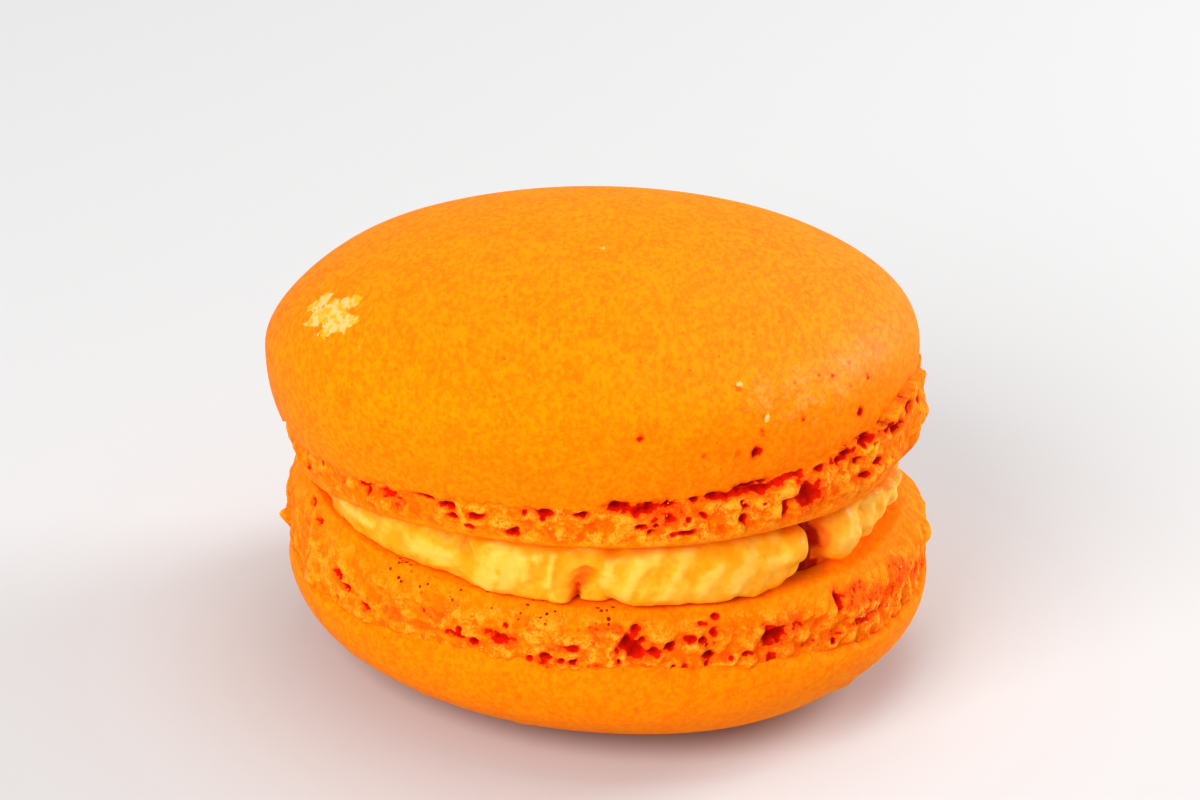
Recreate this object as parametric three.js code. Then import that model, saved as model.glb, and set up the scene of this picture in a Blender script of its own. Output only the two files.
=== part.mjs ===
// A filled French macaron: two domed almond meringue shells, each standing on a craggy foot,
// with a layer of piped cream between them.
//
// Millimetres, +Z up. The lower shell lies dome down on a small flat spot and the origin is
// under the middle of the whole outline. Azimuths are degrees from +X towards +Y. The sandwich
// gapes towards -Y and +X, where the cream shows most.

import * as THREE from 'three';
import { ImprovedNoise } from 'three/addons/math/ImprovedNoise.js';

const { degToRad, radToDeg, smoothstep, lerp } = THREE.MathUtils;

// ---------------------------------------------------------------- driving dimensions

const SHELL_RADIUS = 25;            // either shell at its widest ring
const CLEARANCE = 0.3;              // air kept between pieces that touch
const SHELL_SEGMENTS = 144;         // steps round a shell
const CREAM_SEGMENTS = 132;         // steps round the cream

// Each shell is described standing on its foot, dome up, with z = 0 at its widest ring.
const LOWER = {
  name: 'bottom_shell',
  radius: SHELL_RADIUS - 0.15,
  rise: 8.6,                        // widest ring to the top of the full dome
  crown: 7.7,                       // the dome ends in a flat spot at this height
  squareness: 2.3,                  // 2 is an ellipse, more is boxier
  footDrop: 6.25,                   // widest ring to underside
  lipTuck: 0.7,                     // how far the dome rolls in where it meets the foot
  lipDrop: (azimuth) => 0.5 + 1.5 * hump(azimuth, 90, 65),
  footRadius: (azimuth) => 24.2 + 0.5 * cosine(azimuth) ** 2 + 0.8 * hump(azimuth, 187, 14),
  edgeTuck: (azimuth) => 0.8 + 0.9 * hump(azimuth, 0, 60),
  rimRise: (azimuth) => 0.7 * hump(azimuth, 188, 50),
  noiseSeed: 31.7,
  // larger hollows in the foot: [azimuth, mm below the lip, width, height, depth]
  hollows: [
    [145, 1.9, 2.3, 1.5, 0.9], [115, 0.7, 2.3, 1.1, 1.0], [109, 1.3, 2.5, 1.2, 1.1],
    [99, 0.5, 1.8, 1.2, 1.2], [85, 1.5, 2.6, 2.0, 1.3], [73, 1.3, 1.9, 0.9, 0.8],
    [58, 1.1, 2.7, 2.2, 1.3], [47, 0.5, 3.4, 1.1, 0.9], [32, 0.6, 3.4, 1.0, 1.0],
    [25, 2.4, 2.8, 1.8, 0.9], [161, 4.6, 1.6, 0.9, 0.6],
  ],
};

const UPPER = {
  name: 'top_shell',
  radius: SHELL_RADIUS,
  rise: 8.9,
  crown: 8.9,
  squareness: 2.2,
  footDrop: 7.75,
  lipTuck: 1.0,
  lipDrop: (azimuth) => 3.5 - 1.1 * cosine(azimuth) - sine(azimuth),
  footRadius: (azimuth) => 24.2 + 1.3 * cosine(azimuth),
  edgeTuck: (azimuth) => 0.8 + 1.3 * hump(azimuth, 0, 60),
  rimRise: (azimuth) => 0.7 * hump(azimuth, 172, 50),
  noiseSeed: 4.3,
  hollows: [
    [-140, 0.4, 1.3, 0.7, 0.8], [-133, 0.5, 1.4, 1.1, 0.9], [-127, 0.8, 2.0, 1.4, 1.1],
    [-115, 0.9, 1.2, 0.8, 0.7], [-109, 0.9, 1.5, 0.9, 0.8], [-97, 0.5, 1.6, 0.7, 0.7],
    [-84, 0.4, 1.7, 1.0, 0.9], [-79, 1.0, 1.2, 0.9, 0.7], [-68, 0.4, 3.0, 0.8, 1.0],
    [-59, 0.6, 2.7, 1.3, 1.2], [-47, 1.6, 2.6, 1.8, 1.1], [-30, 0.5, 3.0, 0.9, 1.1],
    [-19, 1.2, 3.0, 1.1, 1.1], [-9, 1.4, 1.9, 1.5, 1.2],
  ],
};

// Crags that cover both feet: how far they stand out, and how wide they are
const BOULDER = { relief: 0.7, size: 4.1 };
const CRUMB = { relief: 0.5, size: 2.3 };
const CREASE_DEPTH = 0.6;           // groove right under the lip
const LIP_WANDER = { relief: 0.35, size: 4.5 };
const DOME_SWELL = { relief: 0.2, size: 13 };

// The upper shell sits a little off to one side and leans, open at the front right.
const UPPER_SHIFT = -2.05;          // along X, from the lower shell's axis
const UPPER_HEIGHT = 11.1;          // its widest ring above the lower shell's inner face
const LEAN_BACK = 5;                // degrees, front edge raised
const LEAN_LEFT = 3;                // degrees, right-hand edge raised

// Lobes of the piped cream round the rim: [first azimuth, last azimuth, reach from the axis]
const CREAM_LOBES = [
  [-165, -119, 23.3], [-118, -95, 23.8], [-93, -48, 23.6], [-41, 3, 22.3],
  [5, 38, 21.6], [40, 79, 21.2], [81, 112, 20.6], [114, 150, 20.4], [152, 193, 20.9],
];
const CLEFT_DEPTH = 2;              // how far the cream falls back between two lobes
const CREAM_HEIGHT = 3;             // typical height, which sets the scale of its folds
const CREAM_FOLD = { relief: 0.45, size: 4.5 };
const CREAM_RIPPLE = { relief: 0.28, size: 1.9 };

// Where the lower shell's axis stands, so that the whole outline is centred over the origin
const AXIS_X = 0.98;
const AXIS_Y = 0.07;

// ---------------------------------------------------------------- small helpers

function cosine(azimuth) {
  return Math.cos(degToRad(azimuth));
}

function sine(azimuth) {
  return Math.sin(degToRad(azimuth));
}

function azimuthOf(point) {
  return radToDeg(Math.atan2(point.y, point.x));
}

function turnBetween(azimuth, from) {
  return (azimuth - from + 900) % 360 - 180;
}

// 1 at the middle azimuth, easing to 0 at halfWidth degrees either side of it
function hump(azimuth, middle, halfWidth) {
  return 1 - smoothstep(Math.abs(turnBetween(azimuth, middle)), 0, halfWidth);
}

const perlin = new ImprovedNoise();

// Uneven swelling of the given relief, in lumps of the given size
function lumps({ relief, size }, point, seed) {
  return relief * perlin.noise(point.x / size + seed, point.y / size + seed, point.z / size - seed);
}

function scaleRadius(point, factor) {
  point.x *= factor;
  point.y *= factor;
}

// Lathes a half section about Z, then moves every vertex by the given rule.
function sculptedLathe(section, segments, rule) {
  const geometry = new THREE.LatheGeometry(section, segments);
  geometry.rotateX(Math.PI / 2);
  const position = geometry.attributes.position;
  const point = new THREE.Vector3();
  for (let i = 0; i < position.count; i++) {
    point.fromBufferAttribute(position, i);
    rule(point);
    position.setXYZ(i, point.x, point.y, point.z);
  }
  geometry.computeVertexNormals();
  return geometry;
}

// ---------------------------------------------------------------- shells

const DOME_STEPS = 6;
const SIDE_STEPS = 2;
const FOOT_STEPS = 7;
const PLAIN_LIP = 3;                        // lip drop of the plain section, before it varies
const PLAIN_FOOT = SHELL_RADIUS - 1;        // foot radius of the plain section
const UNDERSIDE = PLAIN_FOOT - 2.4;         // the underside is flat inside this radius

// Plain half section, from the middle of the underside up the outside to the crown
function shellSection(form) {
  const section = [
    new THREE.Vector2(0, -form.footDrop),
    new THREE.Vector2(UNDERSIDE / 2, -form.footDrop),
    new THREE.Vector2(UNDERSIDE, -form.footDrop),
  ];
  for (let i = 0; i < FOOT_STEPS; i++) {
    const up = i / (FOOT_STEPS - 0.6);
    section.push(new THREE.Vector2(PLAIN_FOOT, lerp(-form.footDrop, -PLAIN_LIP, up)));
  }
  for (let i = 0; i < SIDE_STEPS; i++) {
    const down = 1 - i / SIDE_STEPS;
    section.push(new THREE.Vector2(form.radius - form.lipTuck * down ** 2, -PLAIN_LIP * down));
  }
  const power = 2 / form.squareness;
  const crownAngle = Math.asin((form.crown / form.rise) ** (1 / power));
  for (let i = 0; i <= DOME_STEPS; i++) {
    const angle = crownAngle * i / DOME_STEPS;
    const radius = form.radius * Math.cos(angle) ** power;
    if (radius > CLEARANCE) {
      section.push(new THREE.Vector2(radius, form.rise * Math.sin(angle) ** power));
    }
  }
  section.push(new THREE.Vector2(0, form.crown));
  return section;
}

// How deep the foot's hollows are at a place `below` mm under the lip
function hollowDepth(form, azimuth, below) {
  let depth = 0;
  for (const [middle, drop, width, height, deepest] of form.hollows) {
    const along = degToRad(turnBetween(azimuth, middle)) * SHELL_RADIUS / width;
    const up = (below - drop) / height;
    const away = Math.hypot(along, up);
    depth = Math.max(depth, deepest * (1 - smoothstep(away, 0, 0.75)));
  }
  return depth;
}

// Outward push of the craggy foot: `down` runs from 0 at the lip to 1 at the underside
function footPush(form, azimuth, plain, below, down) {
  const crag = lumps(BOULDER, plain, form.noiseSeed) + lumps(CRUMB, plain, form.noiseSeed);
  const crease = CREASE_DEPTH * (1 - smoothstep(below, 0.1, 0.8));
  const relief = crag - crease - hollowDepth(form, azimuth, below);
  const calmEdge = 1 - 0.7 * smoothstep(down, 0.85, 1);
  const tuck = form.edgeTuck(azimuth) * smoothstep(down, 0.45, 1) ** 2;
  return form.footRadius(azimuth) - PLAIN_FOOT - tuck + relief * calmEdge;
}

// Moves one point of the plain section, already turned to its azimuth, to its finished place
function shapeShell(form, point) {
  const radius = Math.hypot(point.x, point.y);
  if (radius < CLEARANCE) return;
  const azimuth = azimuthOf(point);
  const plain = point.clone();
  const outward = smoothstep(radius, 0.3 * SHELL_RADIUS, 0.9 * SHELL_RADIUS);
  let push = outward * lumps(DOME_SWELL, plain, form.noiseSeed);
  if (plain.z < 0) {
    const lip = Math.max(CLEARANCE, form.lipDrop(azimuth) + lumps(LIP_WANDER, plain, form.noiseSeed));
    const down = (plain.z + PLAIN_LIP) / (PLAIN_LIP - form.footDrop);
    if (down <= 0) {
      point.z = plain.z * lip / PLAIN_LIP;
    } else {
      // the foot stretches between the wandering lip and the underside
      const onRim = smoothstep(radius, UNDERSIDE, PLAIN_FOOT);
      const bottom = form.footDrop + form.rimRise(azimuth) * onRim;
      point.z = -lerp(lip, bottom, down);
      push += onRim * footPush(form, azimuth, plain, -point.z - lip, down);
    }
  }
  scaleRadius(point, (radius + push) / radius);
}

const MERINGUE = { color: 0xfb8c0c, roughness: 0.75, metalness: 0 };

function makeShell(form) {
  const geometry = sculptedLathe(shellSection(form), SHELL_SEGMENTS, (point) => shapeShell(form, point));
  const mesh = new THREE.Mesh(geometry, new THREE.MeshStandardMaterial(MERINGUE));
  mesh.name = form.name;
  return mesh;
}

// ---------------------------------------------------------------- cream

const CREAM = { color: 0xfdb62c, roughness: 0.5, metalness: 0 };

// Half section: [share of the reach, share of the height between the shells]
const CREAM_SECTION = [
  [0, 0], [0.5, 0], [0.88, 0], [0.965, 0.05], [0.992, 0.25], [1, 0.5],
  [0.992, 0.75], [0.965, 0.95], [0.88, 1], [0.5, 1], [0, 1],
];

function creamReach(azimuth) {
  let reach = 0;
  for (const [first, last, lobeReach] of CREAM_LOBES) {
    const halfWidth = (last - first) / 2;
    const across = Math.abs(turnBetween(azimuth, first + halfWidth)) / halfWidth;
    reach = Math.max(reach, lobeReach - CLEFT_DEPTH * Math.min(1, across ** 7));
  }
  return reach;
}

// The cream fills the wedge from the lower shell's inner face, z = 0, up to the upper shell.
function makeCream(upperShell) {
  const underside = new THREE.Plane(new THREE.Vector3(0, 0, 1), UPPER.footDrop);
  underside.applyMatrix4(upperShell.matrix);
  const { normal, constant } = underside;
  const ceiling = (x, y) => -(normal.x * x + normal.y * y + constant) / normal.z - CLEARANCE;

  const section = CREAM_SECTION.map(([across, up]) => new THREE.Vector2(across, up));
  const geometry = sculptedLathe(section, CREAM_SEGMENTS, (point) => {
    const across = Math.hypot(point.x, point.y);
    const up = point.z;
    const reach = creamReach(azimuthOf(point));
    scaleRadius(point, reach);
    point.z = CREAM_HEIGHT * up;
    const swell = lumps(CREAM_FOLD, point, 2.2) + lumps(CREAM_RIPPLE, point, 5.1);
    scaleRadius(point, 1 + smoothstep(across, 0.9, 0.99) * swell / reach);
    point.z = lerp(CLEARANCE, ceiling(point.x, point.y), up);
  });
  const mesh = new THREE.Mesh(geometry, new THREE.MeshStandardMaterial(CREAM));
  mesh.name = 'filling';
  return mesh;
}

// ---------------------------------------------------------------- assembly

const upperShell = makeShell(UPPER);
upperShell.position.set(UPPER_SHIFT, 0, UPPER_HEIGHT);
upperShell.rotation.set(degToRad(-LEAN_BACK), degToRad(-LEAN_LEFT), 0);
upperShell.updateMatrix();

// the same kind of shell turned over, so that its underside is the inner face
const lowerShell = makeShell(LOWER);
lowerShell.position.set(0, 0, -LOWER.footDrop);
lowerShell.rotation.set(Math.PI, 0, 0);

const macaron = new THREE.Group();
macaron.add(lowerShell, makeCream(upperShell), upperShell);
macaron.position.set(AXIS_X, AXIS_Y, LOWER.footDrop + LOWER.crown);

export default macaron;
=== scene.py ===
import itertools
import math

import bmesh
import bpy
import numpy as np
from mathutils import Matrix, Vector


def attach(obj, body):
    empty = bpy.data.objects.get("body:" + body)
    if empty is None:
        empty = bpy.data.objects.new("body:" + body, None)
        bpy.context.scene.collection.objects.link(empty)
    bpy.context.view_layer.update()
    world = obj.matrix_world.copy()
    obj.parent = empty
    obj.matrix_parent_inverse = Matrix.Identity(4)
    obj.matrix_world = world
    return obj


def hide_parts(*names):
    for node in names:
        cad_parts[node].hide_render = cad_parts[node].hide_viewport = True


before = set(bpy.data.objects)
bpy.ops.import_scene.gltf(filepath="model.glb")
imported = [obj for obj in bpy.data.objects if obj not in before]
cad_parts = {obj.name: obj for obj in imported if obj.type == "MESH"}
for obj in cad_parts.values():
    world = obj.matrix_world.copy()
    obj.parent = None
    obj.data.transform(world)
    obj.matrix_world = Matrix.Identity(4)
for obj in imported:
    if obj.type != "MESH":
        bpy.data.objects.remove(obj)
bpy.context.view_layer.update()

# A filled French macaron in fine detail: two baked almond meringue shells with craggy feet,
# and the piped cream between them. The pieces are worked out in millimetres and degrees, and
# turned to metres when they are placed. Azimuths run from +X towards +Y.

MM = 0.001

# ---------------------------------------------------------------- sizes shared with the solids

SHELL_RADIUS = 25.0         # either shell at its widest ring
PLAIN_LIP = 3.0             # lip drop of the plain section, before it varies
PLAIN_FOOT = 24.0           # foot radius of the plain section
UNDERSIDE = 21.6            # the underside is flat inside this radius

UPPER_SHIFT = -2.05         # along X, from the lower shell's axis
UPPER_HEIGHT = 11.1         # its widest ring above the lower shell's inner face
LEAN_BACK = 5.0             # degrees, front edge raised
LEAN_LEFT = 3.0             # degrees, right-hand edge raised
AXIS_X = 0.98               # where the lower shell's axis stands
AXIS_Y = 0.07

# unevenness: (how far it moves the surface, size of its lumps)
DOME_SWELL = (0.2, 13.0)
BOULDER = (0.7, 4.1)
CRUMB = (0.5, 2.3)
LIP_WANDER = (0.35, 4.5)


# ---------------------------------------------------------------- small helpers

def lerp(start, end, share):
    return start + (end - start) * share


def steps(value, low, high):
    """0 below low, 1 above high, and a smooth rise between."""
    share = np.clip((value - low) / (high - low), 0, 1)
    return share * share * (3 - 2 * share)


def cosine(azimuth):
    return np.cos(np.radians(azimuth))


def sine(azimuth):
    return np.sin(np.radians(azimuth))


def turn_between(azimuth, start):
    return (azimuth - start + 900) % 360 - 180


def hump(azimuth, middle, half_width):
    """1 at the middle azimuth, easing to 0 at half_width degrees either side of it."""
    return 1 - steps(np.abs(turn_between(azimuth, middle)), 0, half_width)


def ring(azimuth, radius=SHELL_RADIUS):
    """The place on a level circle at each azimuth."""
    return np.stack([radius * cosine(azimuth), radius * sine(azimuth), 0 * azimuth], axis=1)


def chance(cell, salt):
    """A repeatable chance value from 0 to 1 for each whole-numbered cell."""
    wave = np.sin(cell @ np.array([12.9898, 78.233, 37.719]) + salt) * 43758.5453
    return wave - np.floor(wave)


def swell(places, size, seed):
    """Smooth unevenness, mostly between -0.5 and 0.5, in lumps of the given size."""
    spot = places / size + seed
    cell = np.floor(spot)
    within = spot - cell
    fade = within ** 3 * (within * (within * 6 - 15) + 10)
    total = np.zeros(len(places))
    for corner in itertools.product((0, 1), repeat=3):
        away = within - corner
        slope = np.stack([2 * chance(cell + corner, salt) - 1 for salt in (0.0, 1.7, 4.1)], axis=1)
        total += np.prod(np.where(corner, fade, 1 - fade), axis=1) * (slope * away).sum(axis=1)
    return total


def uneven(places, unevenness, seed):
    """Swelling that moves the surface by the given amount, in lumps of the given size."""
    relief, size = unevenness
    return relief * swell(places, size, seed)


def grains(places, size, seed):
    """Distance to the nearest of scattered centres, in cells, and that centre's luck."""
    spot = places / size + seed
    cell = np.floor(spot)
    nearest = np.full(len(places), 9.0)
    luck = np.zeros(len(places))
    for corner in itertools.product((-1, 0, 1), repeat=3):
        home = cell + corner
        centre = home + np.stack([chance(home, salt) for salt in (2.3, 5.9, 8.8)], axis=1)
        away = np.linalg.norm(spot - centre, axis=1)
        luck = np.where(away < nearest, chance(home, 7.7), luck)
        nearest = np.minimum(nearest, away)
    return nearest, luck


def spots(places, centres):
    """1 at any of the given centres (x, y, z, reach), easing to 0 at its reach."""
    share = np.zeros(len(places))
    for x, y, z, reach in centres:
        away = np.linalg.norm(places - np.array((x, y, z)), axis=1)
        share = np.maximum(share, 1 - steps(away, 0, reach))
    return share


def off_centre(azimuth, height, oval):
    """0 at the middle of an oval (azimuth, height, half width, half height) and 1 on its edge."""
    middle, level, half_width, half_height = oval
    return np.hypot(turn_between(azimuth, middle) / half_width, (height - level) / half_height)


# ---------------------------------------------------------------- the two shells

# Each shell is described standing on its foot, dome up, with height 0 at its widest ring.
#   hollows     in the foot, painted red and dark as shade: (azimuth, height, width, tall, deep)
#   knobs       of batter that stand out of the foot: (azimuth, height, width, tall, proud)
#   swellings   and flats of the skin: (azimuth, height, half width, half height, push)
#   pits        small ones in the skin: (x, y, z, radius, depth)
#   scars       where the skin has flaked off: (x, y, z, reach), as in the next four
#   stains      soft and darker, in the skin
#   dust        of dry almond on the skin, and painted sheen where listed on the top dome
#   pores       clusters of pinholes
#   sugar       that has boiled out of the foot and glistens

class Lower:
    name = "bottom_shell"
    radius = SHELL_RADIUS - 0.15
    rise = 8.6                  # widest ring to the top of the full dome
    crown = 7.7                 # the dome ends in a flat spot at this height
    squareness = 2.3            # 2 is an ellipse, more is boxier
    foot_drop = 6.25            # widest ring to underside
    lip_tuck = 0.7              # how far the dome rolls in where it meets the foot
    calm_from = 0.55            # how far down the foot its crags begin to fade, from 0 to 1
    seed = 31.7                 # where its patterns of chance begin

    hollows = [
        (161, -6.1, 1.3, 0.8, 0.5), (156, -5.5, 1.0, 0.4, 0.4), (144.5, -3.3, 1.2, 0.9, 1.0),
        (141.8, -2.7, 1.3, 0.6, 1.0), (136.6, -2.0, 0.9, 0.6, 0.5), (130, -2.6, 1.8, 0.8, 0.08),
        (121.5, -3.8, 1.6, 0.6, 0.07), (124, -2.4, 1.6, 0.5, 0.1), (117, -2.6, 2.4, 0.5, 0.9),
        (113.2, -2.4, 0.9, 0.7, 1.1), (108.2, -3.3, 2.0, 1.0, 1.3), (102.5, -2.1, 0.6, 0.4, 0.7),
        (99.8, -2.2, 1.3, 0.8, 1.5), (96.8, -2.2, 0.6, 0.5, 1.2), (95, -2.2, 0.8, 0.5, 1.3),
        (95, -3.4, 1.3, 0.6, 0.6), (98.5, -3.4, 1.6, 0.6, 0.07), (91, -5.0, 1.2, 0.9, 0.07),
        (87.5, -5.1, 0.7, 0.7, 0.07), (91, -2.1, 1.0, 0.4, 0.12), (86.8, -2.5, 0.4, 0.6, 1.0),
        (84.5, -3.6, 2.2, 1.8, 1.3), (84, -5.0, 0.8, 0.9, 0.9), (80.7, -3.3, 1.0, 0.7, 0.9),
        (78, -3.7, 0.9, 0.8, 0.9), (73.9, -4.1, 1.1, 0.5, 0.6), (72, -3.9, 0.8, 0.6, 0.9),
        (70.8, -2.6, 1.1, 0.7, 1.3), (72.2, -5.1, 0.9, 0.5, 0.7), (69.3, -5.6, 0.6, 0.5, 0.7),
        (69.7, -4.5, 0.6, 0.8, 0.6), (67.7, -2.4, 1.2, 0.5, 0.12), (63.3, -2.4, 1.1, 0.4, 0.7),
        (58.5, -3.6, 2.3, 1.9, 1.2), (55, -4.2, 1.8, 1.6, 0.12), (51, -2.1, 1.8, 0.5, 0.2),
        (46, -2.2, 2.2, 0.6, 0.15), (43.7, -4.9, 0.9, 1.5, 0.9), (40, -4.7, 2.4, 1.5, 0.18),
        (34.5, -4.2, 1.6, 0.9, 0.14), (38, -2.5, 2.2, 0.6, 0.3), (35, -2.6, 3.4, 0.6, 0.35),
        (28, -3.4, 1.4, 0.9, 0.15), (25, -4.5, 2.2, 1.6, 0.12), (14, -2.6, 2.6, 1.0, 0.15),
        (4, -1.6, 3.2, 0.8, 0.2),
    ]
    knobs = [(4, -3.7, 2.6, 1.8, 0.45), (177, -1.4, 1.9, 1.1, 0.75),
             (155, -4.1, 1.8, 0.8, 0.35), (150, -3.5, 1.4, 0.7, 0.3)]
    swellings = [(178, -0.3, 28, 1.7, -0.45), (60, 5.3, 34, 2.6, 0.45), (126, 4.6, 3.0, 0.6, 0.15),
                 (105, 5.1, 2.5, 0.5, 0.15), (37, 3.7, 3.5, 0.7, 0.25), (143, 3.6, 3.0, 0.6, 0.12)]
    pits = []
    scars = []
    stains = [(-12.0, 18.0, 4.5, 1.2), (3.0, 23.0, 1.5, 0.8), (11.0, 19.5, 3.5, 1.0)]
    dust_and_sheen = []
    pores = [(-16.0, 18.2, -6.2, 2.5), (-13.8, 20.5, -6.2, 2.2), (-12.9, 21.4, -6.2, 2.0),
             (-11.0, 21.9, -6.2, 2.2), (-9.1, 23.0, -6.2, 2.2), (-6.8, 23.3, -6.2, 2.2),
             (-4.3, 23.0, -6.2, 2.2), (0.5, 23.8, -6.2, 2.2)]
    sugar = [(19.6, 14.0, -3.4, 2.6), (20.9, 12.0, -3.4, 2.6), (22.3, 9.2, -3.8, 2.6)]

    def lip_drop(azimuth):
        """How far the skin's edge lies below the widest ring."""
        return 0.5 + 1.5 * hump(azimuth, 90, 65)

    def lip_fill(azimuth):
        """How far the skin's edge stands out again from its tuck."""
        return 0 * azimuth

    def foot_radius(azimuth):
        end = 0.3 * hump(azimuth, 184, 14) - 0.2 * hump(azimuth, 0, 40)
        return 24.2 + 0.5 * cosine(azimuth) ** 2 + end

    def edge_tuck(azimuth):
        """How far the foot draws in towards its bottom edge."""
        return 0.8 + 0.9 * hump(azimuth, 0, 60)

    def rim_rise(azimuth):
        """How far the foot's bottom edge hangs past the underside."""
        return 0.9 * hump(azimuth, 180, 55) - 0.7 * hump(azimuth, -24, 42)

    def groove(azimuth):
        """How deep the groove under the skin's edge is."""
        return 0.1 + 0.12 * hump(azimuth, 55, 50)

    def rough(azimuth):
        """How rough the foot is."""
        return 0.5 + 0.4 * hump(azimuth, 65, 90)

    def sheen(azimuth):
        return 0.3 * hump(azimuth, 0, 90)

    def painted_shade(azimuth, height):
        """How much darker the skin is painted on the shell's front, as painted shade."""
        return 0.4 * hump(azimuth, 105, 70)


class Upper:
    name = "top_shell"
    radius = SHELL_RADIUS
    rise = 8.9
    crown = 8.9
    squareness = 2.2
    foot_drop = 7.75
    lip_tuck = 1.0
    calm_from = 0.68
    seed = 4.3

    hollows = [
        (-157, -6.9, 2.0, 0.6, 0.8), (-161, -6.0, 0.8, 0.5, 0.5), (-142.7, -6.0, 1.4, 0.6, 0.1),
        (-136.3, -5.6, 1.3, 0.8, 1.0), (-134.8, -6.2, 0.6, 0.6, 0.6), (-129.4, -5.8, 1.6, 0.8, 0.25),
        (-127, -6.3, 1.2, 1.0, 0.14), (-120, -5.0, 2.0, 0.35, 0.8), (-115.6, -5.3, 1.6, 0.5, 0.9),
        (-114.6, -6.2, 0.9, 0.4, 0.7), (-109.6, -5.8, 1.5, 0.6, 1.0), (-111, -6.7, 0.7, 0.5, 0.5),
        (-102.9, -6.7, 1.1, 0.55, 1.2), (-97.3, -4.9, 1.6, 0.6, 1.2), (-90.8, -5.0, 1.2, 0.5, 1.3),
        (-84, -4.3, 1.7, 0.8, 1.2), (-79.4, -4.5, 1.2, 0.7, 1.1), (-75.2, -4.35, 1.3, 0.45, 1.0),
        (-75.3, -5.3, 1.1, 0.6, 0.8), (-80.5, -5.8, 1.0, 0.5, 0.9), (-78.8, -6.3, 0.5, 0.4, 0.6),
        (-72.7, -6.4, 1.3, 0.4, 0.8), (-69.3, -5.4, 0.6, 0.4, 0.6), (-70.5, -4.2, 1.0, 0.4, 1.0),
        (-66.8, -4.15, 1.8, 0.5, 1.1), (-62, -6.0, 0.6, 1.0, 0.8), (-61.8, -5.0, 0.7, 0.5, 0.6),
        (-77, -5.0, 3.2, 1.6, 0.09), (-59.4, -3.9, 3.0, 1.0, 1.4), (-54, -5.8, 0.8, 1.0, 0.8),
        (-49.5, -5.0, 2.5, 1.9, 0.6), (-46.5, -3.4, 1.2, 0.6, 1.0), (-42.5, -3.3, 1.6, 0.7, 1.0),
        (-40, -2.9, 1.6, 0.6, 0.9), (-35.5, -2.5, 2.1, 0.6, 1.1), (-37, -3.9, 0.9, 0.5, 0.6),
        (-32, -4.5, 0.9, 0.7, 0.9), (-29.5, -2.2, 1.7, 0.8, 1.1), (-26, -2.7, 1.7, 0.9, 1.1),
        (-21, -1.7, 1.5, 1.3, 0.8), (-15.5, -1.8, 0.9, 0.9, 0.6), (-35, -5.3, 1.2, 0.4, 0.8),
    ]
    knobs = [(-64, -5.0, 1.5, 1.3, 0.5), (-53, -4.4, 1.7, 1.2, 0.7), (-35, -3.5, 1.9, 0.9, 0.5),
             (-24, -2.8, 1.6, 1.0, 0.4), (-40, -4.8, 1.6, 0.9, 0.3), (-12, -3.2, 1.4, 1.2, 0.3)]
    swellings = [(172, 4.4, 42, 4.4, -0.75), (20, 6.0, 50, 4.0, -0.15), (-2, 3.1, 1.2, 0.4, 0.35)]
    pits = [(11.0, -20.5, 3.7, 0.16, 0.12), (13.0, -21.0, 1.6, 0.17, 0.12),
            (12.4, -21.6, -0.9, 0.44, 0.5), (20.1, -14.9, -0.1, 0.36, 0.4),
            (19.2, -13.8, 3.3, 0.11, 0.1), (18.0, -15.8, 3.0, 0.13, 0.1),
            (20.6, -13.3, 2.1, 0.18, 0.15), (15.8, -19.3, 0.9, 0.17, 0.1),
            (4.0, -24.5, 1.2, 0.24, 0.15), (17.0, -16.5, 3.3, 0.1, 0.1),
            (12.9, -21.4, 0.6, 0.15, 0.1), (11.0, -22.4, -0.7, 0.14, 0.1),
            (19.3, -15.1, 2.1, 0.1, 0.1), (15.1, -18.1, 3.2, 0.1, 0.1), (8.6, -23.4, -0.5, 0.15, 0.1)]
    scars = [(-20.7, -6.0, 5.0, 2.1), (-20.3, -8.2, 4.7, 2.4), (-19.2, -8.8, 5.2, 2.6),
             (-19.0, -10.6, 4.8, 2.4), (-18.2, -11.0, 5.1, 1.8), (-17.8, -8.5, 5.9, 1.6),
             (0.8, -4.6, 8.8, 0.8), (11.2, -20.3, 3.9, 0.5), (13.2, -20.9, 1.6, 0.5)]
    stains = [(3.8, -15.8, 7.1, 1.0), (6.3, -20.4, 5.1, 0.9), (9.3, -13.6, 7.0, 0.8),
              (12.8, -10.3, 7.1, 0.8), (14.9, -9.5, 6.7, 0.8), (19.4, -9.8, 4.8, 0.9),
              (18.4, -16.6, 1.4, 1.1), (-17.6, -17.4, 1.4, 1.0), (24.9, -0.9, 3.1, 0.5)]
    # pale places on the right of the dome: partly almond dust, partly painted sheen
    dust_and_sheen = [(15.6, -18.6, 2.6, 5.5), (18.4, -16.0, 2.2, 3.5), (12.9, -20.0, 2.9, 4.0),
            (19.2, -13.9, 3.5, 3.0)]
    pores = []
    sugar = [(17.0, -18.0, -5.2, 2.2), (6.5, -23.5, -5.0, 2.2), (24.6, -5.2, -1.6, 1.2),
             (22.9, -10.4, -2.2, 1.3), (14.5, -20.2, -4.6, 1.6)]

    def lip_drop(azimuth):
        right_end = 1.1 * hump(azimuth, -17, 17) + hump(azimuth, -28, 45)
        return 3.5 - 1.1 * cosine(azimuth) - sine(azimuth) - right_end

    def lip_fill(azimuth):
        return 0.8 * hump(azimuth, -28, 45)

    def foot_radius(azimuth):
        return 24.2 + 1.3 * cosine(azimuth) + 0.3 * hump(azimuth, 180, 40)

    def edge_tuck(azimuth):
        return 0.35 + 0.35 * hump(azimuth, -45, 25) + 1.8 * hump(azimuth, 5, 50)

    def rim_rise(azimuth):
        return 1.1 * hump(azimuth, 188, 60)

    def groove(azimuth):
        return 0.15 + 0.75 * hump(azimuth, -62, 30)

    def rough(azimuth):
        return 0.6 + 0.5 * hump(azimuth, -62, 60) - 0.2 * hump(azimuth, 0, 40)

    def sheen(azimuth):
        return hump(azimuth, -20, 75)

    # painted shade: the skin is darker low on its front and on its left
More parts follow.
